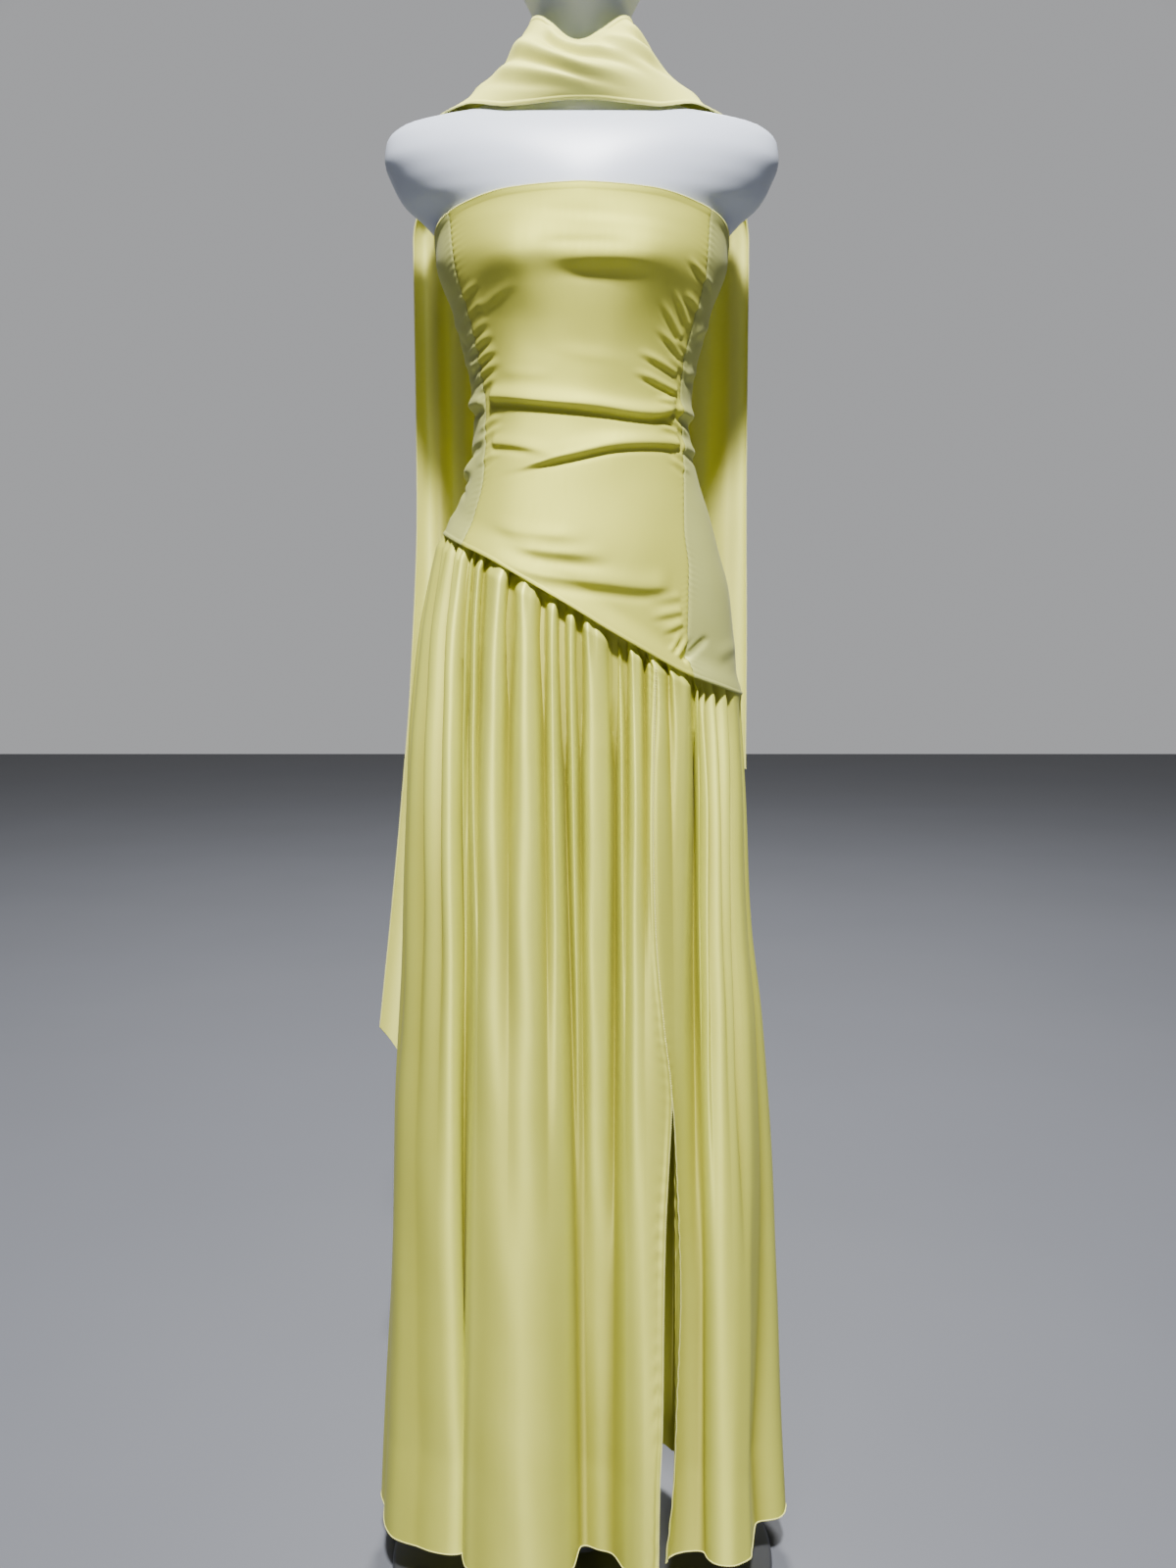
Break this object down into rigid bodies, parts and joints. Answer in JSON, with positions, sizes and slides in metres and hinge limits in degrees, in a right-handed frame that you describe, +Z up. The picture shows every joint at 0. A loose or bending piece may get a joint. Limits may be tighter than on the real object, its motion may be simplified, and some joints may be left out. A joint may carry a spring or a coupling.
{
  "type": "asymmetrical maxi gown on a limbless dress form with a round base",
  "caption": "Strapless maxi gown with a slanted hip seam, gathered slit skirt and a neck scarf, worn by a limbless dress form on a round base.",
  "frame": {"origin": "middle of the base plate's flat underside, on the floor", "axes": "+Z up, the gown's front faces -Y, +X is the viewer's right when looking at the front"},
  "size_m": [0.4519, 0.41, 1.769],
  "materials": {
    "yellow_satin": "pale yellow stretch satin with a soft sheen",
    "form_white": "smooth satin white fibreglass",
    "steel": "brushed"
  },
  "bodies": {
    "root": {"form_base": "steel", "form_pole": "steel", "form_torso": "form_white", "bodice_front_centre": "yellow_satin", "bodice_front_left": "yellow_satin", "bodice_front_right": "yellow_satin", "bodice_back": "yellow_satin", "skirt_front_left": "yellow_satin", "skirt_front_right": "yellow_satin", "skirt_back": "yellow_satin", "scarf_neck": "yellow_satin", "scarf_tail_left": "yellow_satin", "scarf_tail_right": "yellow_satin"}
  },
  "joints": []
}
